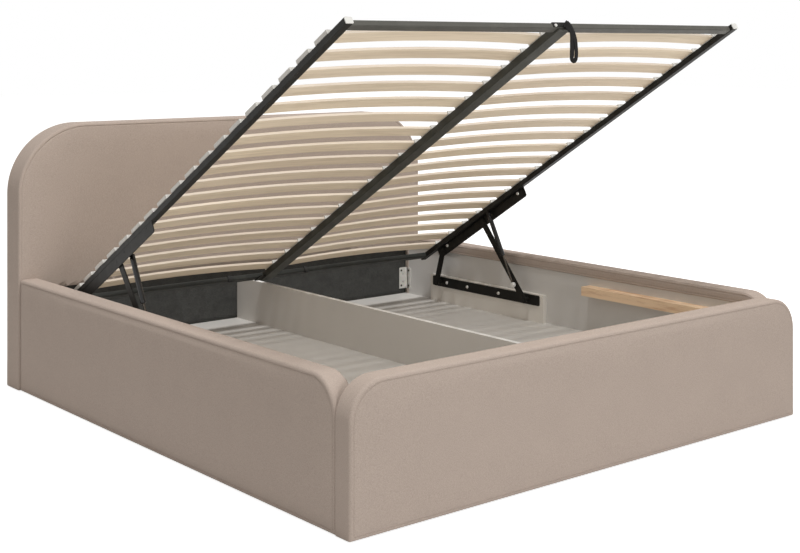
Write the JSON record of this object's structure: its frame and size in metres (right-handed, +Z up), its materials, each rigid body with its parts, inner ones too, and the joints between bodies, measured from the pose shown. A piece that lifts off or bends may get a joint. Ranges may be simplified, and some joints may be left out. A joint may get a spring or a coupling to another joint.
{
  "type": "upholstered storage bed",
  "caption": "Padded storage bed with a curved headboard, a divided box under a slatted base, and gas-sprung links that lift the base at the foot.",
  "frame": {"origin": "centre of the bed's outline on the floor, in its overall length and width", "axes": "+X across the bed to the right seen from the foot, +Y from the foot to the headboard, +Z up; joint value 0 is the raised base of the picture"},
  "size_m": [1.808, 2.164, 1.3165],
  "materials": {
    "upholstery": "short-pile woven taupe cloth over foam",
    "raw_board": "raw particle board",
    "grey_board": "pale warm grey foil on particle board",
    "dark_lining": "matt charcoal non-woven cloth",
    "softwood": "planed pine",
    "black_plastic": "matt black",
    "zinc": "bright zinc plate",
    "black_steel": "satin black powder coat",
    "rod_steel": "ground piston rod",
    "white_plastic": "off-white",
    "grey_plastic": "light grey",
    "birch": "bent birch plywood",
    "webbing": "black webbing"
  },
  "bodies": {
    "base": {"headboard_cover": "upholstery", "headboard_board": "raw_board", "headboard_back_lining": "dark_lining", "headboard_storage_lining": "dark_lining", "panel_rails": "softwood", "footboard_cover": "upholstery", "footboard_board": "raw_board", "side_cover_left": "upholstery", "side_cover_right": "upholstery", "side_board_left": "grey_board", "side_board_right": "grey_board", "floor_panel_left": "grey_board", "floor_panel_right": "grey_board", "floor_ledges": "softwood", "centre_beam": "softwood", "centre_legs": "black_plastic", "centre_divider": "grey_board", "floor_glides": "black_plastic", "support_battens": "softwood", "packing_boards": "grey_board", "head_brackets": "zinc", "foot_brackets": "zinc", "bracket_screws": "zinc", "base_bar_left": "black_steel", "base_bar_right": "black_steel", "base_bar_bolts": "zinc", "base_pivot_pins": "black_steel"},
    "long_link_left": {"long_link_left": "black_steel"},
    "long_link_right": {"long_link_right": "black_steel"},
    "short_link_left": {"short_link_left": "black_steel"},
    "short_link_right": {"short_link_right": "black_steel"},
    "slatted_frame": {"side_tube_left": "black_steel", "side_tube_right": "black_steel", "foot_tube": "black_steel", "head_tube": "black_steel", "centre_tube": "black_steel", "tube_end_caps": "white_plastic", "frame_flange_left": "black_steel", "frame_flange_right": "black_steel", "lift_arm_left": "black_steel", "lift_arm_right": "black_steel", "arm_bolts": "zinc", "frame_pivot_pins": "black_steel", "slats_left": "birch", "slats_right": "birch", "side_slat_holders_left": "grey_plastic", "side_slat_holders_right": "grey_plastic", "centre_slat_holders": "grey_plastic", "strap_plate": "black_steel", "strap_bolts": "zinc", "strap_handle": "webbing", "head_tube_clips": "black_plastic", "centre_gusset": "black_steel"},
    "gas_cylinder_left": {"gas_cylinder_left": "black_steel"},
    "gas_cylinder_right": {"gas_cylinder_right": "black_steel"},
    "gas_rod_left": {"gas_rod_left": "rod_steel", "rod_socket_left": "white_plastic"},
    "gas_rod_right": {"gas_rod_right": "rod_steel", "rod_socket_right": "white_plastic"}
  },
  "joints": [
    {"name": "base_lift", "type": "hinge", "parent": "base", "child": "long_link_left", "pos_m": [-0.7935, 0.15208, 0.236], "axis": [1, 0, 0], "range_deg": [-36.77, 0], "stiffness_Nm_per_rad": 200, "springref_deg": 71.62},
    {"name": "long_link_right_turn", "type": "hinge", "parent": "base", "child": "long_link_right", "pos_m": [0.7935, 0.15208, 0.236], "axis": [1, 0, 0], "range_deg": [-36.78, 0.01]},
    {"name": "frame_tilt", "type": "hinge", "parent": "long_link_left", "child": "slatted_frame", "pos_m": [-0.7935, 0.4048, 0.52412], "axis": [1, 0, 0], "range_deg": [-0.01, 66.48]},
    {"name": "short_link_left_turn", "type": "hinge", "parent": "slatted_frame", "child": "short_link_left", "pos_m": [-0.7935, 0.66341, 0.37201], "axis": [1, 0, 0], "range_deg": [-105.15, 0.01]},
    {"name": "gas_cylinder_left_swing", "type": "hinge", "parent": "slatted_frame", "child": "gas_cylinder_left", "pos_m": [-0.779, 0.34908, 0.56166], "axis": [1, 0, 0], "range_deg": [-74.56, 0.01]},
    {"name": "gas_rod_left_slide", "type": "slide", "parent": "gas_cylinder_left", "child": "gas_rod_left", "axis": [0, -0.4819, -0.8762], "range_m": [-0.06254, 0.00001]},
    {"name": "short_link_right_turn", "type": "hinge", "parent": "slatted_frame", "child": "short_link_right", "pos_m": [0.7935, 0.66341, 0.37201], "axis": [1, 0, 0], "range_deg": [-105.15, 0.01]},
    {"name": "gas_cylinder_right_swing", "type": "hinge", "parent": "slatted_frame", "child": "gas_cylinder_right", "pos_m": [0.779, 0.34908, 0.56166], "axis": [1, 0, 0], "range_deg": [-74.56, 0.01]},
    {"name": "gas_rod_right_slide", "type": "slide", "parent": "gas_cylinder_right", "child": "gas_rod_right", "axis": [0, -0.4819, -0.8762], "range_m": [-0.06254, 0.00001]}
  ],
  "couplings": [
    {"joint": "long_link_right_turn", "follows": "base_lift", "ratio": 1},
    {"joint": "frame_tilt", "follows": "base_lift", "ratio": -1.8077},
    {"joint": "short_link_left_turn", "follows": "base_lift", "ratio": 2.8591},
    {"joint": "gas_cylinder_left_swing", "follows": "base_lift", "ratio": 2.0273},
    {"joint": "gas_rod_left_slide", "follows": "base_lift", "m_per_rad": 0.097435},
    {"joint": "short_link_right_turn", "follows": "base_lift", "ratio": 2.8591},
    {"joint": "gas_cylinder_right_swing", "follows": "base_lift", "ratio": 2.0273},
    {"joint": "gas_rod_right_slide", "follows": "base_lift", "m_per_rad": 0.097435}
  ]
}
